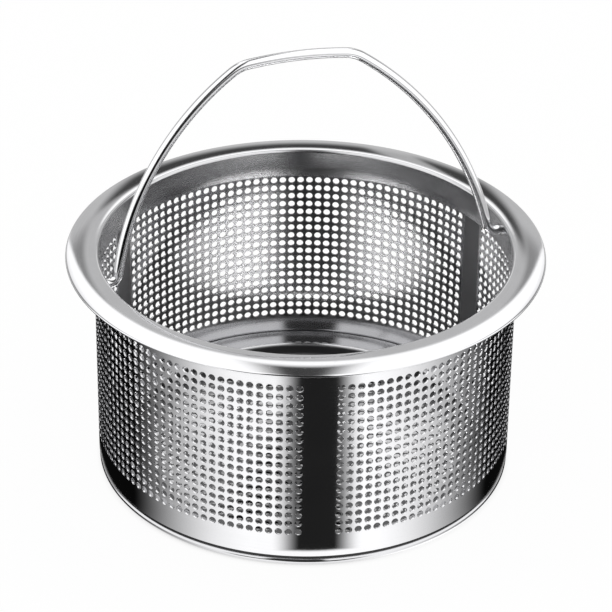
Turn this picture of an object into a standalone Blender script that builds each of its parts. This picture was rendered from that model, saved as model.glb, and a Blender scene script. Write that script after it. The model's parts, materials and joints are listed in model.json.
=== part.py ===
"""Kitchen sink basket strainer of sheet stainless steel.

A pressed rim ring with a collar, a rolled perforated wall lapped round the collar, a pressed base
pan inside the foot of the wall, and a wire bail that swings in two holes through collar and wall.
Metres, +Z up, origin at the middle of the underside, front of the basket towards -Y.
"""

import itertools
import math

import bmesh
import bpy
from mathutils import Matrix, Vector

# Rolled wall: outside radius, sheet, and the gap that two lapped sheets keep
BODY_RADIUS = 0.0617
WALL_SHEET = 0.0005
LAP_GAP = 0.0003

# Rim ring: height of its flange at the neck, sheet, and the flange's shape from the collar outwards
LEDGE_HEIGHT = 0.0701
RIM_SHEET = 0.0006
COLLAR_DEPTH = 0.0089
NECK_UNDER_RADIUS = 0.0002
DISH_WIDTH = 0.0021
DISH_RISE = 0.00008
FLANGE_FALL = 0.00085
FLANGE_OVERHANG = 0.0083
HEM_BEND = 0.0008
HEM_WIDTH = 0.0018

# Base pan: sheet, floor step, sunken middle and the bead that it stands on
BASE_SHEET = 0.0006
STEP_HEIGHT = 0.0048
RECESS_RADIUS = 0.0525
LIP_UNDER_RADIUS = 0.0006
SKIRT_CORNER = 0.0006
BEAD_RADIUS = 0.0011

# Perforation of the wall: three fields of holes between plain bands, first band just right of front
FIELDS = 3
FIELD_ANGLE = math.radians(111.8)
FIRST_BAND = math.radians(4.4)
FIELD_ABOVE_STEP = 0.0054
FIELD_BELOW_COLLAR = 0.0004
HOLE_DIAMETER = 0.0070
HOLE_WEB = 0.0022

# Drain holes of the sunken middle: a square grid in a round field, with solid sheet at its centre
DRAIN_DIAMETER = 0.0070
DRAIN_WEB = 0.0022
DRAIN_FIELD = 0.0465

# Wire bail: wire, play in its holes, and its shape above the pivots
WIRE_DIAMETER = 0.0030
PIVOT_PLAY = 0.00015
PIVOT_LAND = 0.0009
PIVOT_AZIMUTH = math.radians(17.3)
BAIL_LEAN = math.radians(10.0)
FOOT_INSET = 0.0037
PIN_STRAIGHT = 0.0009
LEG_BOW = 0.0076
BAIL_HEIGHT = 0.0595
GRIP_LENGTH = 0.0342
GRIP_BOW = 0.0012
CORNER_TRIM = 0.0026
PIN_PROUD = 0.0012

# Facets, and how far a tool body runs past what it cuts
RING_SEGMENTS = 48
HOLE_FACETS_PER_QUARTER = 2
PIVOT_HOLE_SIDES = 16
CUT_OVERRUN = 0.0010

# Sizes that follow from the ones above
LAP_RADIUS = BODY_RADIUS - WALL_SHEET - LAP_GAP
COLLAR_INNER = LAP_RADIUS - RIM_SHEET
NECK_RADIUS = NECK_UNDER_RADIUS + RIM_SHEET
COLLAR_BOTTOM = LEDGE_HEIGHT - COLLAR_DEPTH
RIM_RADIUS = BODY_RADIUS + FLANGE_OVERHANG
CROWN_RADIUS = COLLAR_INNER + NECK_RADIUS + DISH_WIDTH
HEM_RADIUS = RIM_RADIUS - HEM_WIDTH
WALL_TOP = LEDGE_HEIGHT - max(NECK_RADIUS, RIM_SHEET + LAP_GAP)
WALL_BOTTOM = 2 * BEAD_RADIUS + LAP_GAP
LIP_RADIUS = LIP_UNDER_RADIUS + BASE_SHEET
FIELD_BOTTOM = STEP_HEIGHT + FIELD_ABOVE_STEP
FIELD_TOP = COLLAR_BOTTOM - FIELD_BELOW_COLLAR
HOLE_PITCH = HOLE_DIAMETER + HOLE_WEB
HOLE_COLUMNS = int(FIELD_ANGLE * BODY_RADIUS / HOLE_PITCH)
HOLE_ROWS = int((FIELD_TOP - FIELD_BOTTOM) / HOLE_PITCH)
HOLE_SIDES = 4 * HOLE_FACETS_PER_QUARTER
DRAIN_PITCH = DRAIN_DIAMETER + DRAIN_WEB
DRAIN_REACH = int(DRAIN_FIELD / DRAIN_PITCH)
PIVOT_HOLE_RADIUS = WIRE_DIAMETER / 2 + PIVOT_PLAY
PIVOT_HEIGHT = WALL_TOP - PIVOT_LAND - PIVOT_HOLE_RADIUS
FOOT_TRIM = FOOT_INSET - PIN_STRAIGHT


def steel(name, colour, roughness):
    """A polished stainless steel material."""
    material = bpy.data.materials.new(name)
    material.use_nodes = True
    shader = material.node_tree.nodes["Principled BSDF"]
    shader.inputs["Base Color"].default_value = (*colour, 1.0)
    shader.inputs["Metallic"].default_value = 1.0
    shader.inputs["Roughness"].default_value = roughness
    return material


def add_object(name, data, material=None):
    """A scene object for a mesh or curve, with its material."""
    obj = bpy.data.objects.new(name, data)
    bpy.context.scene.collection.objects.link(obj)
    if material:
        data.materials.append(material)
    return obj


def arc(centre, radius, start, end, steps):
    """Profile points (r, z) on an arc from start to end degrees, both ends included."""
    angles = [math.radians(start + (end - start) * i / steps) for i in range(steps + 1)]
    return [(centre[0] + radius * math.cos(a), centre[1] + radius * math.sin(a)) for a in angles]


def turned(name, profile, closed, material):
    """A turned piece: the profile (r, z) is swept round Z by a Screw modifier."""
    edges = [(i, i + 1) for i in range(len(profile) - 1)]
    if closed:
        edges.append((len(profile) - 1, 0))
    mesh = bpy.data.meshes.new(name)
    mesh.from_pydata([(r, 0.0, z) for r, z in profile], edges, [])
    obj = add_object(name, mesh, material)
    screw = obj.modifiers.new("Turn", "SCREW")
    screw.steps = screw.render_steps = RING_SEGMENTS
    screw.use_merge_vertices = True
    screw.merge_threshold = 0.00001
    screw.use_smooth_shade = True
    return obj


def add_cutter(name, bm):
    """A hidden tool body that Boolean modifiers subtract."""
    mesh = bpy.data.meshes.new(name)
    bm.to_mesh(mesh)
    bm.free()
    cutter = add_object(name, mesh)
    cutter.hide_render = True
    cutter.display_type = "WIRE"
    return cutter


def cut(obj, cutter):
    """Subtracts a tool body from a piece."""
    boolean = obj.modifiers.new("Cut " + cutter.name, "BOOLEAN")
    boolean.operation = "DIFFERENCE"
    boolean.object = cutter
    boolean.solver = "EXACT"


def flange_top(r):
    """Top of the flange from its crown outwards: a fall that steepens up to the bend, then a level hem."""
    run = HEM_RADIUS - CROWN_RADIUS
    bend = run - HEM_BEND
    along = min(r - CROWN_RADIUS, run)
    if along < bend:
        fall = along * along / (bend * run)
    else:
        fall = 1 - (run - along) ** 2 / (HEM_BEND * run)
    return LEDGE_HEIGHT + DISH_RISE - FLANGE_FALL * fall


def rim_ring():
    """The flange with its shallow dish, crown and hem, and the collar that hangs inside the wall."""
    neck = (COLLAR_INNER + NECK_RADIUS, LEDGE_HEIGHT - NECK_RADIUS)
    bend = HEM_RADIUS - HEM_BEND
    fall_steps = 3
    fall = [CROWN_RADIUS + (bend - CROWN_RADIUS) * i / fall_steps for i in range(fall_steps + 1)]
    stations = [*fall, HEM_RADIUS, RIM_RADIUS]
    profile = [(COLLAR_INNER, COLLAR_BOTTOM)]
    profile += arc(neck, NECK_RADIUS, 180, 90, 3)
    profile += [(r, flange_top(r)) for r in stations]
    profile += [(r, flange_top(r) - RIM_SHEET) for r in reversed(stations)]
    profile += arc(neck, NECK_UNDER_RADIUS, 90, 180, 3)
    profile += [(LAP_RADIUS, COLLAR_BOTTOM)]
    return turned("rim_ring", profile, True, steel("rim_steel", (0.66, 0.66, 0.67), 0.12))


def on_wall(azimuth, height):
    """Point on the outside of the wall; azimuth runs from the front (-Y) towards +X."""
    return (BODY_RADIUS * math.sin(azimuth), -BODY_RADIUS * math.cos(azimuth), height)


def wall_columns():
    """Azimuths of the cell borders round the wall, and whether the cell after each one is perforated."""
    turn = 2 * math.pi / FIELDS
    columns = []
    for field in range(FIELDS):
        start = FIRST_BAND + field * turn + (turn - FIELD_ANGLE) / 2
        for column in range(HOLE_COLUMNS):
            columns.append((start + FIELD_ANGLE * column / HOLE_COLUMNS, True))
        columns.append((start + FIELD_ANGLE, False))
    return columns


def hole_cell(bm, corners, low, high):
    """Faces of one cell round its hole; corners run from low left counterclockwise seen from outside."""
    azimuth = (low[0] + high[0]) / 2
    height = (low[1] + high[1]) / 2
    hole = []
    for side in range(HOLE_SIDES):
        angle = -math.pi / 2 + (side - 0.5) * 2 * math.pi / HOLE_SIDES
        across = HOLE_DIAMETER / 2 * math.cos(angle) / BODY_RADIUS
        hole.append(bm.verts.new(on_wall(azimuth + across, height + HOLE_DIAMETER / 2 * math.sin(angle))))
    for k in range(4):
        near, far = corners[k], corners[(k + 1) % 4]
        first = k * HOLE_FACETS_PER_QUARTER
        facing = [hole[(first + i) % HOLE_SIDES] for i in range(HOLE_FACETS_PER_QUARTER + 1)]
        bm.faces.new((near, far, facing[1], facing[0]))
        for low_vertex, high_vertex in zip(facing[1:], facing[2:]):
            bm.faces.new((far, high_vertex, low_vertex))


def perforated_wall():
    """One sheet rolled into a cylinder, with its fields of holes; each hole stands for a group of holes."""
    columns = wall_columns()
    row_height = (FIELD_TOP - FIELD_BOTTOM) / HOLE_ROWS
    rows = [WALL_BOTTOM] + [FIELD_BOTTOM + row_height * i for i in range(HOLE_ROWS + 1)] + [WALL_TOP]
    bm = bmesh.new()
    grid = [[bm.verts.new(on_wall(azimuth, z)) for z in rows] for azimuth, _ in columns]
    for c, (azimuth, perforated) in enumerate(columns):
        following = (c + 1) % len(columns)
        next_azimuth = columns[following][0] + (2 * math.pi if following == 0 else 0.0)
        for r in range(len(rows) - 1):
            corners = (grid[c][r], grid[following][r], grid[following][r + 1], grid[c][r + 1])
            if perforated and 0 < r < len(rows) - 2:
                hole_cell(bm, corners, (azimuth, rows[r]), (next_azimuth, rows[r + 1]))
            else:
                bm.faces.new(corners)
    inner = bmesh.ops.extrude_face_region(bm, geom=bm.faces[:])
    inside = [item for item in inner["geom"] if isinstance(item, bmesh.types.BMVert)]
    share = (BODY_RADIUS - WALL_SHEET) / BODY_RADIUS
    bmesh.ops.scale(bm, vec=(share, share, 1.0), verts=inside)
    bmesh.ops.recalc_face_normals(bm, faces=bm.faces[:])
    mesh = bpy.data.meshes.new("perforated_wall")
    bm.to_mesh(mesh)
    bm.free()
    mesh.shade_smooth()
    mesh.set_sharp_from_angle(angle=math.radians(40))
    return add_object("perforated_wall", mesh, steel("wall_steel", (0.66, 0.66, 0.67), 0.14))


def base_pan():
    """The floor: a step along the wall, a sunken middle, and a skirt rolled into the bead below."""
    skirt_inner = LAP_RADIUS - BASE_SHEET
    half_skirt = BASE_SHEET / 2
    bead = (LAP_RADIUS - half_skirt, BEAD_RADIUS)
    bead_gap = math.degrees(math.asin(half_skirt / BEAD_RADIUS))
    lip = (RECESS_RADIUS + LIP_RADIUS, STEP_HEIGHT - LIP_RADIUS)
    root = (RECESS_RADIUS - LIP_RADIUS, BASE_SHEET + LIP_RADIUS)
    corner = (LAP_RADIUS - SKIRT_CORNER, STEP_HEIGHT - SKIRT_CORNER)
    profile = [(0.0, BASE_SHEET)]
    profile += arc(root, LIP_RADIUS, -90, 0, 2)
    profile += arc(lip, LIP_RADIUS, 180, 90, 3)
    profile += arc(corner, SKIRT_CORNER, 90, 0, 2)
    profile += arc(bead, BEAD_RADIUS, 90 - bead_gap, -270 + bead_gap, 8)
    profile += [(skirt_inner, STEP_HEIGHT - BASE_SHEET)]
    profile += arc(lip, LIP_RADIUS - BASE_SHEET, 90, 180, 2)
    profile += [(RECESS_RADIUS + BASE_SHEET, root[1])]
    profile += arc(root, LIP_RADIUS + BASE_SHEET, 0, -90, 2)[1:]
    profile += [(0.0, 0.0)]
    return turned("base_pan", profile, False, steel("base_steel", (0.62, 0.62, 0.63), 0.16))


def drain_cutter():
    """Tool body for the drain holes: a grid set half a pitch off the middle, as far as the field reaches."""
    bm = bmesh.new()
    places = [(i + 0.5) * DRAIN_PITCH for i in range(-DRAIN_REACH, DRAIN_REACH)]
    for x, y in itertools.product(places, places):
        if math.hypot(x, y) + DRAIN_DIAMETER / 2 < DRAIN_FIELD:
            middle = Matrix.Translation((x, y, BASE_SHEET / 2))
            bmesh.ops.create_cone(
                bm, cap_ends=True, segments=HOLE_SIDES, depth=BASE_SHEET + 2 * CUT_OVERRUN,
                radius1=DRAIN_DIAMETER / 2, radius2=DRAIN_DIAMETER / 2, matrix=middle)
    return add_cutter("drain_cutter", bm)


def pivot_cutter():
    """Tool body for the two pivot holes, one bar across the basket along the bail's axis."""
    bm = bmesh.new()
    bmesh.ops.create_cone(
        bm, cap_ends=True, segments=PIVOT_HOLE_SIDES, depth=2 * (BODY_RADIUS + CUT_OVERRUN),
        radius1=PIVOT_HOLE_RADIUS, radius2=PIVOT_HOLE_RADIUS, matrix=Matrix.Rotation(math.pi / 2, 4, "Y"))
    cutter = add_cutter("pivot_cutter", bm)
    cutter.location = (0.0, 0.0, PIVOT_HEIGHT)
    cutter.rotation_euler = (0.0, 0.0, PIVOT_AZIMUTH)
    return cutter


def bow_length(start, end, bow):
    """Length of the arc of a bowed run, or of the straight run where the bow is zero."""
    chord = (end - start).length
    if bow == 0.0:
        return chord
    swing = 2 * math.atan(2 * bow / chord)
    return chord * swing / math.sin(swing)


def bow_point(start, end, bow, share):
    """Point at a share of the run from start to end, which stands out by bow to the right of its chord."""
    if bow == 0.0:
        return start.lerp(end, share)
    chord = end - start
    swing = 2 * math.atan(2 * bow / chord.length)
    radius = chord.length / (2 * math.sin(swing))
    angle = (2 * share - 1) * swing
    along = chord.normalized()
    out = Vector((along.y, -along.x))
    rise = radius * math.cos(angle) - radius + bow
    return (start + end) / 2 + along * radius * math.sin(angle) + out * rise


def bail_line():
    """Centre line (across, up) of the wire from the right pin's end to the left one's, corners rounded."""
    foot = COLLAR_INNER - FOOT_INSET
    pin_end = BODY_RADIUS + PIN_PROUD
    half_grip = GRIP_LENGTH / 2
    right = [Vector((pin_end, 0.0)), Vector((foot, 0.0)), Vector((half_grip, BAIL_HEIGHT))]
    stations = right + [Vector((-p.x, p.y)) for p in reversed(right)]
    bows = (0.0, LEG_BOW, GRIP_BOW, LEG_BOW, 0.0)
    trims = (0.0, FOOT_TRIM, CORNER_TRIM, CORNER_TRIM, FOOT_TRIM, 0.0)
    steps = (1, 12, 8, 12, 1)
    bend_steps = 5
    line = []
    for i, (start, end, bow) in enumerate(zip(stations, stations[1:], bows)):
        length = bow_length(start, end, bow)
        first = trims[i] / length
        last = 1 - trims[i + 1] / length
        if i > 0:
            before = line[-1]
            after = bow_point(start, end, bow, first)
            for k in range(1, bend_steps):
                t = k / bend_steps
                line.append(before * (1 - t) ** 2 + start * 2 * t * (1 - t) + after * t ** 2)
        shares = [first + (last - first) * k / steps[i] for k in range(steps[i] + 1)]
        line += [bow_point(start, end, bow, share) for share in shares]
    return line


def wire_bail():
    """The carrying bail: one bent wire whose ends stand out as pins; its origin is on the pivot axis."""
    points = bail_line()
    curve = bpy.data.curves.new("wire_bail", "CURVE")
    curve.dimensions = "3D"
    curve.bevel_depth = WIRE_DIAMETER / 2
    curve.bevel_resolution = 2
    curve.use_fill_caps = True
    spline = curve.splines.new("POLY")
    spline.points.add(len(points) - 1)
    for point, place in zip(spline.points, points):
        point.co = (place.x, 0.0, place.y, 1.0)
    bail = add_object("wire_bail", curve, steel("bail_steel", (0.7, 0.7, 0.71), 0.1))
    bail.location = (0.0, 0.0, PIVOT_HEIGHT)
    bail.rotation_euler = (-BAIL_LEAN, 0.0, PIVOT_AZIMUTH)
    return bail


def main():
    for obj in list(bpy.data.objects):
        bpy.data.objects.remove(obj, do_unlink=True)
    rim = rim_ring()
    wall = perforated_wall()
    base = base_pan()
    wire_bail()
    pivots = pivot_cutter()
    cut(rim, pivots)
    cut(wall, pivots)
    cut(base, drain_cutter())


main()
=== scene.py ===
"""Looks of a kitchen sink basket strainer: polished stainless steel sheet and wire over its solids.

Metres, +Z up, in the frame's own place. Azimuths run from the front (-Y) towards +X.
"""

import json
import math

import bpy
import numpy as np
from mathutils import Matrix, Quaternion, Vector
from mathutils.geometry import delaunay_2d_cdt


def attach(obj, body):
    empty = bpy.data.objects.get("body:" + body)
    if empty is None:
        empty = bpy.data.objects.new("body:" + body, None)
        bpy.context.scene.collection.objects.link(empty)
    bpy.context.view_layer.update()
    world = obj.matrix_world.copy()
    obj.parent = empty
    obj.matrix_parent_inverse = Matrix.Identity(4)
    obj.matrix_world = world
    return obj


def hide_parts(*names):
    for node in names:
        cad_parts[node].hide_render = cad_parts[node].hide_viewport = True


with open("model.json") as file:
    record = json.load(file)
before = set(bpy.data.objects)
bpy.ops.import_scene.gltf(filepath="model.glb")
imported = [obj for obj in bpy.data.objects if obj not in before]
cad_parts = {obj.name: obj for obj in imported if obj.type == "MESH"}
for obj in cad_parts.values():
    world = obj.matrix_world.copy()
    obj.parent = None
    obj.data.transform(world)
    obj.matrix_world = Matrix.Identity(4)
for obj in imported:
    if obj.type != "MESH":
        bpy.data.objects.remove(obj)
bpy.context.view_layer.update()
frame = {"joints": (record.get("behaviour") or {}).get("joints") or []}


# Camera: a long lens that looks down at the basket from the front, where the photograph was taken.
# It is turned a little, because the basket stands a little clockwise in the picture.
IMAGE_SIDE = 612
FOCAL_PIXELS = 2812.4
VIEW_DISTANCE = 0.8379
VIEW_ELEVATION = math.radians(31.35)
VIEW_ROLL = math.radians(0.81)
VIEW_CENTRE = Vector((0.0, 0.0, 0.035))
VIEW_AIM = Vector((0.0003, 0.0066, 0.0458))

camera = bpy.data.objects.new("camera", bpy.data.cameras.new("camera"))
bpy.context.scene.collection.objects.link(camera)
camera.data.lens = camera.data.sensor_width * FOCAL_PIXELS / IMAGE_SIDE
towards_camera = Vector((0.0, -math.cos(VIEW_ELEVATION), math.sin(VIEW_ELEVATION)))
camera.location = VIEW_CENTRE + VIEW_DISTANCE * towards_camera
camera.rotation_mode = "QUATERNION"
look = (VIEW_AIM - camera.location).to_track_quat("-Z", "Y")
camera.rotation_quaternion = look @ Quaternion((0.0, 0.0, 1.0), VIEW_ROLL)
bpy.context.scene.camera = camera


# Rim ring: one pressing of 0.5 mm stainless sheet, polished to a mirror. A collar hangs inside the
# wall, and the flange leaves its neck almost level and bends evenly down to a rolled edge.
# Two holes through the collar hold the bail.
RIM_SHEET = 0.0005
RIM_RADIUS = 0.0700
RIM_COLUMNS = 240
COLLAR_RADIUS = 0.0603
COLLAR_BOTTOM = 0.0612
LEDGE_HEIGHT = 0.07005
LEDGE_SLOPE = 0.015
NECK_RADIUS = 0.0008
EDGE_SLOPE = 0.227
EDGE_RADIUS = 0.0004
WINDOW_BOTTOM = 0.0646
PIVOT_HOLE_RADIUS = 0.00165
PIVOT_HOLE_POINTS = 24
WINDOW_COLUMNS = 4
FLANGE_POINTS = 40
NECK_STEPS = 10
NECK_UNDER_STEPS = 8
EDGE_STEPS = 16
COLLAR_FOOT_STEPS = 6
RIM_CREASE = 40
RIM_TINT = (0.61, 0.61, 0.62)
RIM_GLOSS = 0.07
RING_LINES_ALONG = 25.0
RING_LINES_ACROSS = 5000.0
# The collar inside the rim is made rougher and painted darker, as painted shade.
COLLAR_DULL_AND_SHADE = 0.6

pivot = Vector(frame["joints"][0]["pos_m"])
pivot_axis = Vector(frame["joints"][0]["axis"])
PIVOT_AZIMUTH = math.atan2(pivot_axis.x, -pivot_axis.y)


def arc(centre, radius, start, end, steps):
    """Points (r, z) at centre + radius * (cos t, sin t), t from start to end degrees in equal steps."""
    t = np.radians(np.linspace(start, end, steps + 1))
    return np.stack([centre[0] + radius * np.cos(t), centre[1] + radius * np.sin(t)], axis=-1)


def around(azimuth, radius, height):
    """Points (radius sin a, -radius cos a, height) for arrays of azimuths a, radii and heights."""
    azimuth, radius, height = np.broadcast_arrays(azimuth, radius, height)
    return np.stack([radius * np.sin(azimuth), -radius * np.cos(azimuth), height], axis=-1)


def turned_quads(index, closed):
    """Quads of a turned grid: index[column, point], round all columns, and round the profile if closed."""
    following = np.roll(index, -1, axis=0)
    points = index.shape[1]
    low = np.arange(points if closed else points - 1)
    high = (low + 1) % points
    return np.stack([index[:, low], following[:, low], following[:, high], index[:, high]], axis=-1)


def hole_loop(azimuth, height, hole_radius, sheet_radius, points, turn):
    """Loop round a hole in a cylinder: hole_radius cos t along its tangent, hole_radius sin t in height."""
    t = 2 * np.pi * (np.arange(points) + turn) / points - np.pi / 2
    offset = np.arcsin(hole_radius * np.cos(t) / sheet_radius)
    heights = np.asarray(height)[..., None] + hole_radius * np.sin(t)
    return around(np.asarray(azimuth)[..., None] + offset, sheet_radius, heights)


def halves_round_hole(low, high, hole):
    """Two faces round a hole, from the window's low and high edge to the loop's left and right half."""
    middle = len(low) // 2
    half = len(hole) // 2
    left = [*low[:middle + 1], hole[0], *hole[:half - 1:-1], *high[middle::-1]]
    right = [*low[middle:], *high[:middle - 1:-1], *hole[half::-1]]
    return [left, right]


def tube_quads(outer, inner):
    """Quads of a hole's wall between two loops of indices, the first one outside."""
    return np.stack([outer, np.roll(outer, -1, -1), np.roll(inner, -1, -1), inner], axis=-1)


def make_piece(name, points, faces, crease):
    """A smooth-shaded object of these points and faces, with edges sharper than crease degrees kept."""
    mesh = bpy.data.meshes.new(name)
    mesh.from_pydata(points, [], faces)
    mesh.shade_smooth()
    mesh.set_sharp_from_angle(angle=math.radians(crease))
    piece = bpy.data.objects.new(name, mesh)
    bpy.context.scene.collection.objects.link(piece)
    return piece


def flange_top(r):
    """Top of the flange over an array of radii, from the neck to the edge.

    The slope is LEDGE_SLOPE at the neck and grows evenly by EDGE_SLOPE up to the edge. The height is
    LEDGE_HEIGHT - width * (LEDGE_SLOPE * u + EDGE_SLOPE * u ** 2 / 2), u from 0 to 1 over the width."""
    width = RIM_RADIUS - COLLAR_RADIUS - NECK_RADIUS
    u = (r - COLLAR_RADIUS - NECK_RADIUS) / width
    return LEDGE_HEIGHT - width * (LEDGE_SLOPE * u + EDGE_SLOPE * u ** 2 / 2)


def rim_profile():
    """Closed profile (r, z) of the rim: up inside the collar, out along the top, back underneath."""
    neck = (COLLAR_RADIUS + NECK_RADIUS, LEDGE_HEIGHT - NECK_RADIUS)
    lean = math.atan(LEDGE_SLOPE + EDGE_SLOPE)
    edge = RIM_RADIUS - EDGE_RADIUS
    across = np.linspace(neck[0], edge + EDGE_RADIUS * math.sin(lean), FLANGE_POINTS)[1:]
    top = np.stack([across, flange_top(across)], axis=-1)
    under = top[across < edge - EDGE_RADIUS] - (0.0, RIM_SHEET)
    roll = (edge, top[-1, 1] - EDGE_RADIUS * math.cos(lean))
    half_sheet = RIM_SHEET / 2
    foot = (COLLAR_RADIUS + half_sheet, COLLAR_BOTTOM + half_sheet)
    return np.concatenate([
        [(COLLAR_RADIUS, WINDOW_BOTTOM)],
        arc(neck, NECK_RADIUS, 180, 90, NECK_STEPS),
        top,
        arc(roll, EDGE_RADIUS, 90 - math.degrees(lean), -180, EDGE_STEPS)[1:],
        under[::-1],
        arc(neck, NECK_RADIUS - RIM_SHEET, 90, 180, NECK_UNDER_STEPS),
        [(COLLAR_RADIUS + RIM_SHEET, WINDOW_BOTTOM)],
        arc(foot, half_sheet, 0, -180, COLLAR_FOOT_STEPS),
    ])


def rim_mesh():
    """Points and faces of the turned rim, with a window of the collar opened for each pivot hole."""
    profile = rim_profile()
    azimuth = PIVOT_AZIMUTH + 2 * np.pi * np.arange(RIM_COLUMNS) / RIM_COLUMNS
    points = around(azimuth[:, None], profile[:, 0], profile[:, 1]).reshape(-1, 3)
    index = np.arange(len(points)).reshape(RIM_COLUMNS, len(profile))
    quads = turned_quads(index, True)
    inner_low = 0
    outer_low = int(np.flatnonzero((profile[:, 0] > COLLAR_RADIUS) & (profile[:, 1] == WINDOW_BOTTOM))[0])
    keep = np.ones(quads.shape[:2], bool)
    faces = []
    for first in (0, RIM_COLUMNS // 2):
        columns = (first + np.arange(WINDOW_COLUMNS + 1) - WINDOW_COLUMNS // 2) % RIM_COLUMNS
        keep[columns[:-1], inner_low] = False
        keep[columns[:-1], outer_low - 1] = False
        loops = [hole_loop(azimuth[first], pivot.z, PIVOT_HOLE_RADIUS, r, PIVOT_HOLE_POINTS, 0.0)
                 for r in (COLLAR_RADIUS + RIM_SHEET, COLLAR_RADIUS)]
        outer = len(points) + np.arange(PIVOT_HOLE_POINTS)
        inner = outer + PIVOT_HOLE_POINTS
        points = np.concatenate([points, *loops])
        faces += halves_round_hole(index[columns, outer_low], index[columns, outer_low - 1], outer)
        inside = halves_round_hole(index[columns, inner_low], index[columns, inner_low + 1], inner)
        faces += [face[::-1] for face in inside]
        faces += tube_quads(outer, inner).tolist()
    return points, quads[keep][:, ::-1].tolist() + faces


class Signal:
    """A socket of a material's nodes: arithmetic on it adds Math nodes, and node() adds any other node."""

    def __init__(self, tree, socket=None):
        self.tree = tree
        self.socket = socket

    def node(self, kind, settings, inputs, output=0):
        """Adds a node, sets it up, then feeds its sockets with values or signals."""
        made = self.tree.nodes.new("ShaderNode" + kind)
        for key, value in settings.items():
            setattr(made, key, value)
        for key, value in inputs.items():
            if isinstance(value, Signal):
                self.tree.links.new(value.socket, made.inputs[key])
            else:
                made.inputs[key].default_value = value
        return Signal(self.tree, made.outputs[output])

    def math(self, operation, *values):
        """Adds a Math node that works on values or signals."""
        return self.node("Math", {"operation": operation}, dict(enumerate(values)))

    def __add__(self, other):
        return self.math("ADD", self, other)

    def __radd__(self, other):
        return self.math("ADD", other, self)

    def __sub__(self, other):
        return self.math("SUBTRACT", self, other)

    def __rsub__(self, other):
        return self.math("SUBTRACT", other, self)

    def __mul__(self, other):
        return self.math("MULTIPLY", self, other)

    def __rmul__(self, other):
        return self.math("MULTIPLY", other, self)

    def __truediv__(self, other):
        return self.math("DIVIDE", self, other)

    def __neg__(self):
        return self.math("MULTIPLY", self, -1.0)

    def __abs__(self):
        return self.math("ABSOLUTE", self)

    def at_least(self, other):
        """The larger of the two."""
        return self.math("MAXIMUM", self, other)

    def between(self, low, high):
        """0 at low, 1 at high, smooth in between."""
        settings = {"interpolation_type": "SMOOTHSTEP"}
        return self.node("MapRange", settings, {"Value": self, "From Min": low, "From Max": high})


def place_of(signal):
    """The point's own place as three signals x, y, z."""
    place = signal.node("TexCoord", {}, {}, "Object")
    return [signal.node("SeparateXYZ", {}, {"Vector": place}, axis) for axis in "XYZ"]


def polished_steel(name, tint, gloss, grain, dull_and_painted_shade):
    """Polished stainless steel: grain gives the place among the polish lines, about one line to a unit.

    The lines vary gloss and tint a little, wide patches of less gloss and a few small pits lie over them.
    The steel is less glossy, and its colour darker as painted shade, by the last argument: 0 where fully
    polished and unshaded, up to 2 in a shaded crevice."""
    patch_scale, pit_scale = 45.0, 900.0
    pit_cut, pit_depth = (0.72, 0.80), 0.6
    line_share, patch_share = 0.35, 0.65
    tint_span = (0.30, 0.70)
    darker, lighter = 0.96, 1.03
    line_gloss, patch_gloss, pit_gloss, dull_gloss = 0.05, 0.06, 0.06, 0.22
    painted_shade_depth = 0.46
    material = bpy.data.materials.new(name)
    material.use_nodes = True
    shader = material.node_tree.nodes["Principled BSDF"]
    nodes = Signal(material.node_tree)
    place = nodes.node("TexCoord", {}, {}, "Object")
    lines = nodes.node("TexNoise", {}, {"Vector": grain(nodes), "Scale": 1.0, "Detail": 3.0})
    wide = {"Vector": place, "Scale": patch_scale, "Detail": 4.0, "Roughness": 0.6}
    patches = nodes.node("TexNoise", {}, wide)
    specks = nodes.node("TexNoise", {}, {"Vector": place, "Scale": pit_scale, "Detail": 1.0})
    pits = specks.between(*pit_cut)
    dullness_and_shade = dull_and_painted_shade(nodes)
    uneven = line_gloss * (lines - 0.5) + patch_gloss * (patches - 0.5)
    roughness = gloss + uneven + pit_gloss * pits + dull_gloss * dullness_and_shade
    colour = nodes.node("Mix", {"data_type": "RGBA"}, {
        0: (line_share * lines + patch_share * patches).between(*tint_span),
        6: (*(darker * c for c in tint), 1.0),
        7: (*(lighter * c for c in tint), 1.0)}, 2)
    # Painted shade: the colour is darkened where the piece's mask says it lies in shade.
    shade = 1.0 - painted_shade_depth * dullness_and_shade
    grey = nodes.node("CombineColor", {}, {"Red": shade, "Green": shade, "Blue": shade})
    darken = {"data_type": "RGBA", "blend_type": "MULTIPLY"}
    colour = nodes.node("Mix", darken, {0: 1.0, 6: colour, 7: grey}, 2)
    height = lines - pit_depth * pits
    bump = nodes.node("Bump", {}, {"Strength": 0.02, "Distance": 0.00002, "Height": height})
    shader.inputs["Metallic"].default_value = 1.0
    for socket, signal in (("Base Color", colour), ("Roughness", roughness), ("Normal", bump)):
        material.node_tree.links.new(signal.socket, shader.inputs[socket])
    return material


def axis_distance(nodes):
    """The point's distance from the basket's axis."""
    x, y, _ = place_of(nodes)
    return nodes.math("SQRT", x * x + y * y)


def ring_grain(nodes):
    """Polish lines that run round the basket's axis: fine across the radius and the height."""
    x, y, z = place_of(nodes)
    across = RING_LINES_ACROSS * (axis_distance(nodes) + z)
    return nodes.node("CombineXYZ", {}, {"X": RING_LINES_ALONG * x, "Y": RING_LINES_ALONG * y, "Z": across})


def collar_dull_and_shade(nodes):
    """The collar is rougher than the flange, and painted darker as shade inside the rim."""
    return COLLAR_DULL_AND_SHADE * (1.0 - axis_distance(nodes).between(COLLAR_RADIUS, COLLAR_RADIUS + NECK_RADIUS))


rim = make_piece("rim_ring_polished", *rim_mesh(), RIM_CREASE)
rim.data.materials.append(polished_steel("rim_polish", RIM_TINT, RIM_GLOSS, ring_grain, collar_dull_and_shade))
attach(rim, "basket")
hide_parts("rim_ring")


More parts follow.
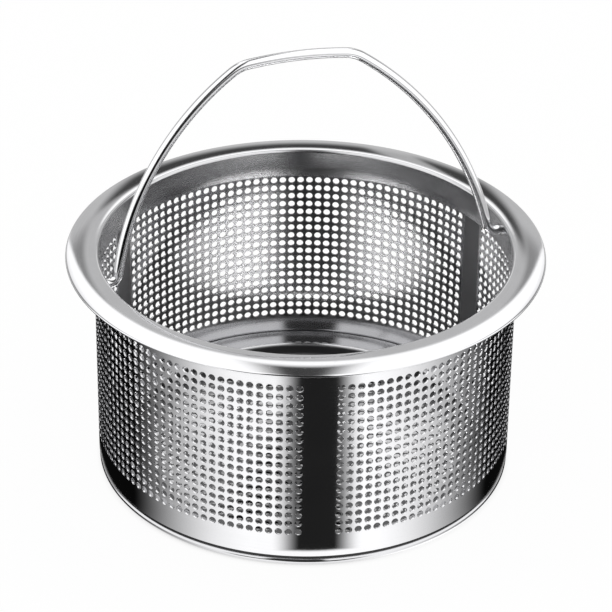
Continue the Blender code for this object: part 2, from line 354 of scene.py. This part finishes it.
# Perforated wall: one strip of 0.5 mm stainless sheet, punched from its outside with three fields of
# 2.1 mm holes, rolled to a cylinder and welded to the collar inside its top. The punch rolls the holes'
# edges in on the outside. The foot is turned in round the base.
WALL_RADIUS = 0.0617
WALL_SHEET = 0.0005
WALL_BOTTOM = 0.0031
WALL_TOP = 0.0692
FOOT_RADIUS = 0.0003
FOOT_ROWS = 3
FIELD_BOTTOM = 0.0102
FIELD_TOP = 0.0608
FIELDS = 3
FIELD_COLUMNS = 43
FIELD_ROWS = 18
COLUMN_STEP = math.radians(2.6)
FIRST_BAND = math.radians(4.4)
BAND_COLUMNS = 4
HOLE_RADIUS = 0.00104
HOLE_ROLL_WIDTH = 0.00006
HOLE_ROLL_DEPTH = 0.00036
HOLE_POINTS = 12
WALL_CREASE = 20
WALL_TINT = (0.58, 0.58, 0.59)
WALL_GLOSS = 0.09
SHEET_LINES_ALONG = 30.0
SHEET_LINES_ACROSS = 4000.0
# These darken the wall's inside as painted shade, a little all over and much more on the plain bands as a
# painted dark reflection; both also roughen the steel.
INSIDE_DULL_AND_SHADE = 0.1
BAND_DULL_AND_SHADE = 1.2
BAND_EDGE = (0.026, 0.034)
INSIDE_END = (WALL_RADIUS - 0.0004, WALL_RADIUS - 0.0003)


def wall_azimuths():
    """Column lines round the wall: FIELD_COLUMNS steps over each field, then BAND_COLUMNS over its band."""
    turn = 2 * np.pi / FIELDS
    field = FIELD_COLUMNS * COLUMN_STEP
    one = np.concatenate([np.arange(FIELD_COLUMNS) * COLUMN_STEP,
                          field + (turn - field) * np.arange(BAND_COLUMNS) / BAND_COLUMNS])
    start = FIRST_BAND + (turn - field) / 2
    return (start + turn * np.arange(FIELDS)[:, None] + one).reshape(-1)


def faces_round_holes(corners, holes):
    """Faces of square cells round 12-sided holes: a quad along each side, two triangles at each corner."""
    quads = []
    triangles = []
    step = HOLE_POINTS // 4
    for k in range(4):
        near, far = corners[:, k], corners[:, (k + 1) % 4]
        loop = [holes[:, (step * k + i) % HOLE_POINTS] for i in range(step + 1)]
        quads.append(np.stack([near, far, loop[1], loop[0]], axis=-1))
        triangles += [np.stack([far, loop[i + 1], loop[i]], axis=-1) for i in range(1, step)]
    return np.concatenate(quads), np.concatenate(triangles)


def wall_mesh():
    """Points and faces of the wall: an outer and an inner grid, joined by the holes and the two ends."""
    azimuth = wall_azimuths()
    foot = arc((WALL_RADIUS - FOOT_RADIUS, WALL_BOTTOM + FOOT_RADIUS), FOOT_RADIUS, -90, 0, FOOT_ROWS)
    field = np.linspace(FIELD_BOTTOM, FIELD_TOP, FIELD_ROWS + 1)
    above = np.concatenate([field, [WINDOW_BOTTOM, WALL_TOP]])
    heights = np.concatenate([foot[:, 1], above])
    outside = np.concatenate([foot[:, 0], np.full(len(above), WALL_RADIUS)])
    inside = np.full(len(heights), WALL_RADIUS - WALL_SHEET)
    shape = (len(azimuth), len(heights))
    outer = np.arange(shape[0] * shape[1]).reshape(shape)
    inner = outer + outer.size
    points = [around(azimuth[:, None], radius, heights).reshape(-1, 3) for radius in (outside, inside)]
    cells = [turned_quads(grid, False) for grid in (outer, inner)]

    column = np.arange(shape[0])
    punched = np.zeros(cells[0].shape[:2], bool)
    in_field = column % (FIELD_COLUMNS + BAND_COLUMNS) < FIELD_COLUMNS
    punched[:, FOOT_ROWS + 1:FOOT_ROWS + 1 + FIELD_ROWS] = in_field[:, None]
    plain = ~punched
    c, r = np.nonzero(punched)
    hole_azimuth = azimuth[c] + COLUMN_STEP / 2
    hole_height = (heights[r] + heights[r + 1]) / 2
    sizes = ((HOLE_RADIUS + HOLE_ROLL_WIDTH, WALL_RADIUS), (HOLE_RADIUS, WALL_RADIUS - HOLE_ROLL_DEPTH),
             (HOLE_RADIUS, WALL_RADIUS - WALL_SHEET))
    loops = []
    for hole_radius, sheet_radius in sizes:
        loop = hole_loop(hole_azimuth, hole_height, hole_radius, sheet_radius, HOLE_POINTS, -0.5)
        own = np.arange(loop.shape[0] * HOLE_POINTS).reshape(-1, HOLE_POINTS)
        loops.append(sum(map(len, points)) + own)
        points.append(loop.reshape(-1, 3))
    quads = [tube_quads(near, far).reshape(-1, 4) for near, far in zip(loops, loops[1:])]
    front = faces_round_holes(cells[0][punched], loops[0])
    back = faces_round_holes(cells[1][punched], loops[2])
    quads += [front[0], back[0][:, ::-1]]
    triangles = np.concatenate([front[1], back[1][:, ::-1]])

    polygons = []
    window = len(heights) - 2
    for side in (0.0, np.pi):
        turns = np.remainder(azimuth - PIVOT_AZIMUTH - side + np.pi, 2 * np.pi) - np.pi
        columns = (np.argmin(np.abs(turns)) + np.arange(-1, 2)) % shape[0]
        plain[columns[:-1], window] = False
        rings = []
        for sheet_radius in (WALL_RADIUS, WALL_RADIUS - WALL_SHEET):
            rings.append(sum(map(len, points)) + np.arange(PIVOT_HOLE_POINTS))
            points.append(hole_loop(PIVOT_AZIMUTH + side, pivot.z, PIVOT_HOLE_RADIUS, sheet_radius,
                                    PIVOT_HOLE_POINTS, 0.0))
        polygons += halves_round_hole(outer[columns, window], outer[columns, window + 1], rings[0])
        halves = halves_round_hole(inner[columns, window], inner[columns, window + 1], rings[1])
        polygons += [face[::-1] for face in halves]
        polygons += tube_quads(*rings).tolist()

    quads += [cells[0][plain], cells[1][plain][:, ::-1]]
    following = np.roll(column, -1)
    for row, near, far in ((-1, column, following), (0, following, column)):
        end = [outer[near, row], outer[far, row], inner[far, row], inner[near, row]]
        quads.append(np.stack(end, axis=-1))
    return np.concatenate(points), np.concatenate(quads).tolist() + triangles.tolist() + polygons


def sheet_grain(nodes):
    """Polish lines that run round the wall: fine in height, long round the cylinder."""
    x, y, z = place_of(nodes)
    along = {"X": SHEET_LINES_ALONG * x, "Y": SHEET_LINES_ALONG * y}
    return nodes.node("CombineXYZ", {}, {**along, "Z": SHEET_LINES_ACROSS * z})


def inside_dull_and_shade(nodes):
    """The inside is a bit rougher and has painted shade; the plain bands inside are rougher and painted
    much darker, a painted dark reflection.

    BAND_EDGE lies off the middle of a band, in shares of the way from one band to the next."""
    x, y, _ = place_of(nodes)
    turns = (nodes.math("ARCTAN2", x, -y) - FIRST_BAND) * (FIELDS / (2 * math.pi))
    band = 1.0 - nodes.math("PINGPONG", turns, 0.5).between(*BAND_EDGE)
    return (INSIDE_DULL_AND_SHADE + BAND_DULL_AND_SHADE * band) * (1.0 - axis_distance(nodes).between(*INSIDE_END))


wall = make_piece("wall_punched", *wall_mesh(), WALL_CREASE)
wall.data.materials.append(polished_steel("wall_polish", WALL_TINT, WALL_GLOSS, sheet_grain, inside_dull_and_shade))
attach(wall, "basket")
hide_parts("perforated_wall")


# Base pan: one pressing of 0.6 mm stainless sheet inside the foot of the wall. A step runs along the
# wall, its lip drops to a sunken middle with drain holes, and the skirt is rolled to a bead below.
BASE_SHEET = 0.0006
BASE_COLUMNS = 192
SKIRT_RADIUS = 0.0609
STEP_HEIGHT = 0.0048
RECESS_RADIUS = 0.0525
LIP_RADIUS = 0.0012
SKIRT_CORNER = 0.0006
BEAD_RADIUS = 0.0010
DISC_RADIUS = 0.0501
DRAIN_FIELD = 0.0465
DRAIN_PITCH = 0.0026
DRAIN_RADIUS = 0.0010
DRAIN_POINTS = 12
ROOT_STEPS = 8
LIP_STEPS = 10
LIP_UNDER_STEPS = 6
SKIRT_CORNER_STEPS = 5
BEAD_STEPS = 28
BASE_CREASE = 40
BASE_TINT = (0.50, 0.50, 0.51)
BASE_GLOSS = 0.06
# Painted shade on the pan: the groove, the sunken middle and the rest inside the skirt are painted darker,
# and also made rougher.
GROOVE_BOTTOM = (0.0018, 0.0020)
GROOVE_TOP = (0.0042, 0.0045)
GROOVE_DULL_AND_SHADE = 2.0
MIDDLE_DULL_AND_SHADE = 1.5
PAN_DULL_AND_SHADE = 0.1


def pan_profile():
    """Profile (r, z) of the pan outside its flat disc, from the disc's top face round to its underside."""
    bead = (SKIRT_RADIUS - BASE_SHEET / 2, BEAD_RADIUS)
    gap = math.degrees(math.asin(BASE_SHEET / 2 / BEAD_RADIUS))
    lip = (RECESS_RADIUS + LIP_RADIUS, STEP_HEIGHT - LIP_RADIUS)
    root = (RECESS_RADIUS - LIP_RADIUS, BASE_SHEET + LIP_RADIUS)
    corner = (SKIRT_RADIUS - SKIRT_CORNER, STEP_HEIGHT - SKIRT_CORNER)
    return np.concatenate([
        [(DISC_RADIUS, BASE_SHEET)],
        arc(root, LIP_RADIUS, -90, 0, ROOT_STEPS),
        arc(lip, LIP_RADIUS, 180, 90, LIP_STEPS),
        arc(corner, SKIRT_CORNER, 90, 0, SKIRT_CORNER_STEPS),
        arc(bead, BEAD_RADIUS, 90 - gap, -270 + gap, BEAD_STEPS),
        [(SKIRT_RADIUS - BASE_SHEET, STEP_HEIGHT - BASE_SHEET)],
        arc(lip, LIP_RADIUS - BASE_SHEET, 90, 180, LIP_UNDER_STEPS),
        arc(root, LIP_RADIUS + BASE_SHEET, 0, -90, ROOT_STEPS),
        [(DISC_RADIUS, 0.0)],
    ])


def drain_loops():
    """Loops (hole, point, xy) of the drain holes: every place of a square grid inside the drain field."""
    reach = int(DRAIN_FIELD / DRAIN_PITCH)
    step = DRAIN_PITCH * np.arange(-reach, reach + 1)
    x, y = (grid.reshape(-1) for grid in np.meshgrid(step, step))
    inside = np.hypot(x, y) < DRAIN_FIELD
    t = 2 * np.pi * np.arange(DRAIN_POINTS) / DRAIN_POINTS
    loop = DRAIN_RADIUS * np.stack([np.cos(t), np.sin(t)], axis=-1)
    return np.stack([x[inside], y[inside]], axis=-1)[:, None, :] + loop


def disc_triangles(rim_loop, holes):
    """Delaunay triangles of the disc between its outline and the hole loops."""
    flat = np.concatenate([rim_loop, holes.reshape(-1, 2)])
    outline = np.arange(len(rim_loop))
    loops = len(rim_loop) + np.arange(holes.shape[0] * DRAIN_POINTS).reshape(-1, DRAIN_POINTS)
    edges = [np.stack([loop, np.roll(loop, -1, -1)], axis=-1).reshape(-1, 2) for loop in (outline, loops)]
    inside_only, tolerance = 1, 1e-7
    corners = [Vector(p) for p in flat]
    found = delaunay_2d_cdt(corners, np.concatenate(edges).tolist(), [], inside_only, tolerance)
    triangles = np.array(found[2])
    hole_of = np.concatenate([np.full(len(rim_loop), -1), np.repeat(np.arange(len(holes)), DRAIN_POINTS)])
    owners = hole_of[triangles]
    filled = (owners[:, 0] >= 0) & (owners[:, 0] == owners[:, 1]) & (owners[:, 1] == owners[:, 2])
    return triangles[~filled], loops


def pan_mesh():
    """Points and faces of the pan: the turned profile, and the punched disc's two faces and hole walls."""
    profile = pan_profile()
    azimuth = 2 * np.pi * np.arange(BASE_COLUMNS) / BASE_COLUMNS
    ring = around(azimuth[:, None], profile[:, 0], profile[:, 1]).reshape(-1, 3)
    index = np.arange(len(ring)).reshape(BASE_COLUMNS, len(profile))
    holes = drain_loops()
    triangles, loops = disc_triangles(around(azimuth, DISC_RADIUS, 0.0)[:, :2], holes)
    flat = holes.reshape(-1, 2)
    top = np.column_stack([flat, np.full(len(flat), BASE_SHEET)])
    bottom = np.column_stack([flat, np.zeros(len(flat))])
    to_top = np.concatenate([index[:, 0], len(ring) + np.arange(len(flat))])
    to_bottom = np.concatenate([index[:, -1], len(ring) + len(flat) + np.arange(len(flat))])
    faces = turned_quads(index, False).reshape(-1, 4)[:, ::-1].tolist()
    faces += to_top[triangles].tolist() + to_bottom[triangles][:, ::-1].tolist()
    faces += tube_quads(to_top[loops], to_bottom[loops]).reshape(-1, 4).tolist()
    return np.concatenate([ring, top, bottom]), faces


def pan_dull_and_shade(nodes):
    """Painted shade with rougher steel: the groove between the bead and the foot of the wall is painted
    near black, the sunken middle much darker, and the rest inside the skirt a little darker.
    """
    _, _, z = place_of(nodes)
    distance = axis_distance(nodes)
    outside = distance.between(SKIRT_RADIUS - BASE_SHEET, SKIRT_RADIUS - BASE_SHEET / 2)
    groove = outside * z.between(*GROOVE_BOTTOM) * (1.0 - z.between(*GROOVE_TOP))
    middle = 1.0 - distance.between(RECESS_RADIUS, RECESS_RADIUS + LIP_RADIUS / 2)
    return GROOVE_DULL_AND_SHADE * groove + MIDDLE_DULL_AND_SHADE * middle + PAN_DULL_AND_SHADE * (1.0 - outside)


pan = make_piece("base_pan_pressed", *pan_mesh(), BASE_CREASE)
pan.data.materials.append(polished_steel("pan_polish", BASE_TINT, BASE_GLOSS, ring_grain, pan_dull_and_shade))
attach(pan, "basket")
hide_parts("base_pan")


# Wire bail: one length of 3 mm drawn stainless wire, bent to two bowed legs and a short grip. Its ends
# turn outwards as pins through the collar and the wall, and it leans back in them.
WIRE_RADIUS = 0.0015
BAIL_LEAN = math.radians(10.0)
BAIL_HEIGHT = 0.0595
FOOT_INSET = 0.0037
FOOT_TRIM = 0.0028
LEG_BOW = 0.0076
GRIP_LENGTH = 0.0342
GRIP_BOW = 0.0012
CORNER_TRIM = 0.0026
PIN_PROUD = 0.0012
PIN_CHAMFER = 0.0003
WIRE_SIDES = 24
PIN_POINTS = 8
LEG_POINTS = 60
GRIP_POINTS = 33
BEND_POINTS = 9
BAIL_CREASE = 40
BAIL_TINT = (0.64, 0.64, 0.65)
BAIL_GLOSS = 0.12
WIRE_LINES_ALONG = 40.0
WIRE_LINES_ACROSS = 5000.0


def bowed_run(start, end, bow, trims, count):
    """Points of a circular arc from start to end, bowed to the right by bow and cut short by trims."""
    chord = end - start
    length = np.hypot(*chord)
    swing = 2 * math.atan(2 * bow / length)
    radius = length / (2 * math.sin(swing))
    shares = np.array(trims) / (2 * radius * swing)
    t = (2 * np.linspace(shares[0], 1 - shares[1], count) - 1)[:, None] * swing
    along = chord / length
    out = np.array([along[1], -along[0]])
    return (start + end) / 2 + along * radius * np.sin(t) + out * (radius * np.cos(t) - radius + bow)


def bend(before, corner, after, count):
    """Inner points of a quadratic curve from before to after, drawn towards the corner."""
    t = np.linspace(0, 1, count + 2)[1:-1, None]
    return before * (1 - t) ** 2 + corner * 2 * t * (1 - t) + after * t ** 2


def bail_line():
    """Centre line (across, up) from the right pin's end to the left one's: one half and its mirror."""
    end = np.array([WALL_RADIUS + PIN_PROUD, 0.0])
    foot = np.array([COLLAR_RADIUS - FOOT_INSET, 0.0])
    top = np.array([GRIP_LENGTH / 2, BAIL_HEIGHT])
    pin = np.linspace(end, foot + (FOOT_TRIM, 0.0), PIN_POINTS)
    leg = bowed_run(foot, top, LEG_BOW, (FOOT_TRIM, CORNER_TRIM), LEG_POINTS)
    grip = bowed_run(top, top * (-1, 1), GRIP_BOW, (CORNER_TRIM, CORNER_TRIM), GRIP_POINTS)
    ankle = bend(pin[-1], foot, leg[0], BEND_POINTS)
    corner = bend(leg[-1], top, grip[0], BEND_POINTS)
    right = np.concatenate([pin, ankle, leg, corner, grip[:GRIP_POINTS // 2 + 1]])
    return np.concatenate([right, right[-2::-1] * (-1, 1)])


def bail_mesh():
    """Points, faces and grain of the wire: a circle carried along the centre line, ends chamfered."""
    line = bail_line()
    tangent = np.gradient(line, axis=0)
    tangent /= np.hypot(*tangent.T)[:, None]
    chamfer = tangent[[0, -1]] * PIN_CHAMFER
    line = np.concatenate([line[:1], line[:1] + chamfer[0], line[1:-1], line[-1:] - chamfer[1], line[-1:]])
    tangent = np.concatenate([tangent[:1], tangent, tangent[-1:]])
    radius = np.full(len(line), WIRE_RADIUS)
    radius[[0, -1]] -= PIN_CHAMFER
    normal = np.stack([tangent[:, 1], -tangent[:, 0]], axis=-1)
    t = 2 * np.pi * np.arange(WIRE_SIDES) / WIRE_SIDES
    flat = line[:, None, :] + radius[:, None, None] * np.cos(t)[:, None] * normal[:, None, :]
    depth = radius[:, None] * np.sin(t)
    across = np.array(pivot_axis)
    back = np.array([-pivot_axis.y, pivot_axis.x, 0.0])
    up = math.cos(BAIL_LEAN) * np.array([0.0, 0.0, 1.0]) + math.sin(BAIL_LEAN) * back
    out = np.cross(across, up)
    grid = np.array(pivot) + flat[..., :1] * across + flat[..., 1:] * up + depth[..., None] * out
    index = np.arange(len(line) * WIRE_SIDES).reshape(len(line), WIRE_SIDES)
    following = np.roll(index, -1, axis=1)
    sides = np.stack([index[:-1], following[:-1], following[1:], index[1:]], axis=-1)
    faces = sides.reshape(-1, 4).tolist() + [index[0, ::-1].tolist(), index[-1].tolist()]
    length = np.concatenate([[0.0], np.cumsum(np.hypot(*np.diff(line, axis=0).T))])
    place = np.broadcast_arrays(length[:, None], WIRE_RADIUS * np.cos(t), WIRE_RADIUS * np.sin(t))
    grain = np.stack(place, axis=-1)
    return grid.reshape(-1, 3), faces, grain.reshape(-1)


def wire_grain(nodes):
    """Drawing lines along the wire, from its own attribute: place along it and round it."""
    along = nodes.node("Attribute", {"attribute_name": "wire_place"}, {}, "Vector")
    lines = (WIRE_LINES_ALONG, WIRE_LINES_ACROSS, WIRE_LINES_ACROSS)
    return nodes.node("VectorMath", {"operation": "MULTIPLY"}, {0: along, 1: lines})


def evenly_polished(nodes):
    """No part of the piece is rougher or painted darker."""
    return 0.0


bail_points, bail_faces, bail_grain = bail_mesh()
bail = make_piece("bail_wire", bail_points, bail_faces, BAIL_CREASE)
bail.data.attributes.new("wire_place", "FLOAT_VECTOR", "POINT").data.foreach_set("vector", bail_grain)
bail_polish = polished_steel("bail_polish", BAIL_TINT, BAIL_GLOSS, wire_grain, evenly_polished)
bail.data.materials.append(bail_polish)
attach(bail, "bail")
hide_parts("wire_bail")


# Floor: a plain pale studio floor under a white surround. It is matt and keeps the basket's shadow, and
# it is lifted towards white where it lies in the open.
FLOOR_SIDE = 6.0
FLOOR_HEIGHT = -0.0002
FLOOR_COLOUR = (0.95, 0.95, 0.95, 1.0)
FLOOR_WHITE = 0.95
UNDER_BASKET = (0.0580, 0.0630)
STAGE_CREASE = 30


def flat_plane(name, side, height):
    """A square plane of this side at this height."""
    points = np.array([(-1, -1), (1, -1), (1, 1), (-1, 1)]) * side / 2
    plane = make_piece(name, np.column_stack([points, np.full(4, height)]), [(0, 1, 2, 3)], STAGE_CREASE)
    return plane


def stage_material(name, surface):
    """A material whose surface is the shader signal that surface(nodes) gives."""
    material = bpy.data.materials.new(name)
    material.use_nodes = True
    tree = material.node_tree
    tree.nodes.clear()
    output = tree.nodes.new("ShaderNodeOutputMaterial")
    tree.links.new(surface(Signal(tree)).socket, output.inputs["Surface"])
    return material


def white_floor(nodes):
    """White matt floor that keeps the shadow, lifted towards white for camera and metal in the open."""
    rays = ("Is Camera Ray", "Is Glossy Ray", "Is Transmission Ray")
    seen = [nodes.node("LightPath", {}, {}, ray) for ray in rays]
    matt = nodes.node("BsdfDiffuse", {}, {"Color": FLOOR_COLOUR})
    white = nodes.node("Emission", {}, {"Color": (1.0, 1.0, 1.0, 1.0)})
    in_the_open = axis_distance(nodes).between(*UNDER_BASKET)
    share = FLOOR_WHITE * nodes.math("MINIMUM", seen[0] + seen[1] + seen[2], 1.0) * in_the_open
    return nodes.node("MixShader", {}, {0: share, 1: matt, 2: white})


floor = flat_plane("floor", FLOOR_SIDE, FLOOR_HEIGHT)
floor.data.materials.append(stage_material("floor_white", white_floor))


# Tent sheet: a white sheet on the table that only the steel sees, with dark cards in front of the basket
# and behind it. Bearings are in degrees from the front towards +X, distances in metres from the axis.
TENT_RADIUS = 1.5
SHEET_HEIGHT = -0.0001
PANEL_LIGHT = 1.7
DARKEST = 0.004
CARD_BEARING = 8.0
CARD_EDGE = (8.5, 25)
CARD_START = (0.0660, 0.0675)
CARD_LIGHT = 0.01
RIGHT_FADE = (36, 125)
LEFT_FADE = (27, 108)
REAR_LIGHT = (142, 158)
REAR_CARD = (168, 176)
REAR_CARD_DARK = 0.9
FAR_LIGHT = (0.20, 0.30)
FAR_FADE = (0.20, 0.40)
FAR_FADE_DEPTH = 0.57
FAR_CARD_BEARING = -12.0
FAR_CARD_EDGE = (14, 26)
FAR_CARD_START = (0.16, 0.20)
PATCH_LIGHT = 3.4
RIGHT_PATCH_START = (8, 28)
RIGHT_PATCH_END = (40, 110)
LEFT_PATCH_START = (15, 42)
LEFT_PATCH_END = (55, 110)
LEFT_PATCH_SHARE = 0.9
BEARING_ROUNDS = 5
DEGREES = 180 / math.pi


def seen_by_metal(obj):
    """Only reflections show this stage piece."""
    obj.visible_camera = False
    obj.visible_diffuse = False
    obj.visible_transmission = False
    obj.visible_volume_scatter = False
    obj.visible_shadow = False


def glow(nodes, level):
    """Light of a grey level, from the darkest grey at 0 to the panels' light at 1."""
    light = DARKEST + PANEL_LIGHT * level
    colour = nodes.node("CombineColor", {}, {"Red": light, "Green": light, "Blue": light})
    return nodes.node("Emission", {}, {"Color": colour})


def mirror_bearing(nodes):
    """Bearing b, from the front towards +X in degrees, in which the wall mirrors a place on the sheet.

    A point of the wall at bearing b / 2 looks along b, so b - p = asin(WALL_RADIUS * sin(b / 2) / d) for a
    place at bearing p and distance d; a few rounds from b = p come close."""
    x, y, _ = place_of(nodes)
    place = nodes.math("ARCTAN2", x, -y)
    bearing = place
    for _ in range(BEARING_ROUNDS):
        offset = nodes.math("SINE", bearing / 2) * WALL_RADIUS
        bearing = place + nodes.math("ARCSINE", offset / axis_distance(nodes))
    return bearing * DEGREES


def card_sheet(nodes):
    """White sheet with dark cards in front, light that falls off to both sides and comes back behind.

    Under the basket it is dark but for a patch at each side, which the wall's inside mirrors through the
    drain holes: the patches' bearings are taken from the wall's focus."""
    x, y, _ = place_of(nodes)
    bearing = mirror_bearing(nodes)
    distance = axis_distance(nodes)
    front = abs(bearing - CARD_BEARING).between(*CARD_EDGE)
    front = front.at_least(1.0 - distance.between(*CARD_START)).at_least(CARD_LIGHT)
    sides = (1.0 - bearing.between(*RIGHT_FADE)) * (1.0 - (-bearing).between(*LEFT_FADE))
    rear = abs(nodes.math("ARCTAN2", x, -y)) * DEGREES
    sides = sides.at_least(rear.between(*REAR_LIGHT) * (1.0 - REAR_CARD_DARK * rear.between(*REAR_CARD)))
    sides = sides.at_least(distance.between(*FAR_LIGHT))
    far_card = 1.0 - abs(bearing - FAR_CARD_BEARING).between(*FAR_CARD_EDGE)
    far_card = distance.between(*FAR_CARD_START) * far_card
    open_sheet = front * sides * (1.0 - FAR_FADE_DEPTH * distance.between(*FAR_FADE)) * (1.0 - far_card)
    right = nodes.math("ARCTAN2", x, WALL_RADIUS / 2 - y) * DEGREES
    right_patch = right.between(*RIGHT_PATCH_START) * (1.0 - right.between(*RIGHT_PATCH_END))
    left_patch = (-right).between(*LEFT_PATCH_START) * (1.0 - (-right).between(*LEFT_PATCH_END))
    patches = PATCH_LIGHT * (right_patch + LEFT_PATCH_SHARE * left_patch)
    under = 1.0 - distance.between(*UNDER_BASKET)
    return glow(nodes, open_sheet + under * (patches - open_sheet))


sheet = flat_plane("tent_sheet", 2 * TENT_RADIUS, SHEET_HEIGHT)
sheet.data.materials.append(stage_material("tent_sheet", card_sheet))
seen_by_metal(sheet)


# Tent dome: a light tent round the table that only the steel sees. Its sizes are places on a dome of
# radius 1: x to the right, y to the back and z up.
TENT_COLUMNS = 48
TENT_ROWS = 24
DOME_RISE = 89
BACK_HALF = (-0.10, 0.15)
SIDE_BOX_START = (0.55, 0.75)
SIDE_BOX_END = (0.20, 0.60)
TOP_BOX_EDGE = (0.68, 0.735)
TOP_BOX_CURVE = 9.3
TOP_BOX_CORNER = (0.30, 0.42)
TOP_BOX_CORNER_BACK = (0.30, 0.50)
TOP_BOX_CORNER_DARK = 0.9
BACK_BOX_SIDE = (0.13, 0.16)
BACK_BOX_BOTTOM = (0.37, 0.43)
BACK_BOX_TOP = (0.495, 0.51)
BACK_BOX_CURVE = 2.5
BACK_GREY = 0.43
BACK_EDGE_SIDE = (0.19, 0.24)
BACK_EDGE_BOTTOM = (0.40, 0.50)
BACK_EDGE_DARK = 0.5
STRIP_SIDE = (0.17, 0.23)
STRIP_BOTTOM = (0.125, 0.315)
STRIP_TOP = (0.44, 0.49)
STRIP_TILT = 0.2
STRIP_DARK = 0.90
STREAK_PLACE = 0.085
STREAK_EDGE = (0.015, 0.035)
STREAK_LIGHT = 0.8
GAP_EDGE = (0.02, 0.10)
GAP_TURN = 0.06
GAP_SPREAD = 0.22
GAP_LIGHT = 0.04
GAP_BACK_END = (0.575, 0.655)
LOW_CARD_TOP = (0.25, 0.40)
LOW_CARD_PLACE = -0.03
LOW_CARD_EDGE = (0.46, 0.64)


def tent_dome(nodes):
    """Soft boxes overhead and at both sides with a dark gap between them, and grey cards at the back.

    A small box stands in the back half, and a dark strip with a light streak in it. The front half has a
    low dark card, and the gap runs from the front over the top."""
    x, y, z = (axis / TENT_RADIUS for axis in place_of(nodes))
    aside = abs(x)
    back_half = y.between(*BACK_HALF)
    side_box = aside.between(*SIDE_BOX_START) * (1.0 - y.between(*SIDE_BOX_END))
    top_box = (z + TOP_BOX_CURVE * aside * aside * aside).between(*TOP_BOX_EDGE)
    corner = aside.between(*TOP_BOX_CORNER) * y.between(*TOP_BOX_CORNER_BACK)
    top_box = top_box * (1.0 - TOP_BOX_CORNER_DARK * corner)
    back_box = (z - BACK_BOX_CURVE * x * x).between(*BACK_BOX_BOTTOM) * (1.0 - z.between(*BACK_BOX_TOP))
    back_box = back_box * (1.0 - aside.between(*BACK_BOX_SIDE))
    streak = 1.0 - abs(x - STREAK_PLACE).between(*STREAK_EDGE)
    strip = (1.0 - aside.between(*STRIP_SIDE)) * z.between(*STRIP_BOTTOM)
    strip = strip * (1.0 - (z - STRIP_TILT * x).between(*STRIP_TOP))
    grey = BACK_GREY * (1.0 - STRIP_DARK * strip * (1.0 - STREAK_LIGHT * streak))
    grey = grey * (1.0 - BACK_EDGE_DARK * aside.between(*BACK_EDGE_SIDE) * z.between(*BACK_EDGE_BOTTOM))
    back = grey.at_least(back_box).at_least(top_box).at_least(side_box)
    ahead = nodes.math("MINIMUM", y, 0.0)
    gap = (abs(x - GAP_TURN * ahead) + GAP_SPREAD * ahead).between(*GAP_EDGE)
    gap = gap.at_least(GAP_LIGHT).at_least(y.between(*GAP_BACK_END))
    low_card = (1.0 - z.between(*LOW_CARD_TOP)) * (1.0 - abs(x - LOW_CARD_PLACE).between(*LOW_CARD_EDGE))
    level = 1.0 - back_half * (1.0 - back)
    return glow(nodes, level * gap * (1.0 - (1.0 - back_half) * low_card))


dome_profile = arc((0.0, 0.0), TENT_RADIUS, 0, DOME_RISE, TENT_ROWS)
dome_azimuth = 2 * np.pi * np.arange(TENT_COLUMNS) / TENT_COLUMNS
dome_points = around(dome_azimuth[:, None], dome_profile[:, 0], dome_profile[:, 1]).reshape(-1, 3)
dome_index = np.arange(len(dome_points)).reshape(TENT_COLUMNS, -1)
dome_faces = turned_quads(dome_index, False).reshape(-1, 4).tolist()
dome = make_piece("tent_dome", dome_points, dome_faces, STAGE_CREASE)
dome.data.materials.append(stage_material("tent_dome", tent_dome))
seen_by_metal(dome)


# Surround: a plain white world, which lights the floor evenly from all round. Colours are shown as they
# are, without a film curve.
world = bpy.data.worlds.new("surround")
bpy.context.scene.world = world
world.use_nodes = True
world.node_tree.nodes["Background"].inputs["Color"].default_value = (1.0, 1.0, 1.0, 1.0)
world.node_tree.nodes["Background"].inputs["Strength"].default_value = 1.0
bpy.context.scene.view_settings.view_transform = "Standard"
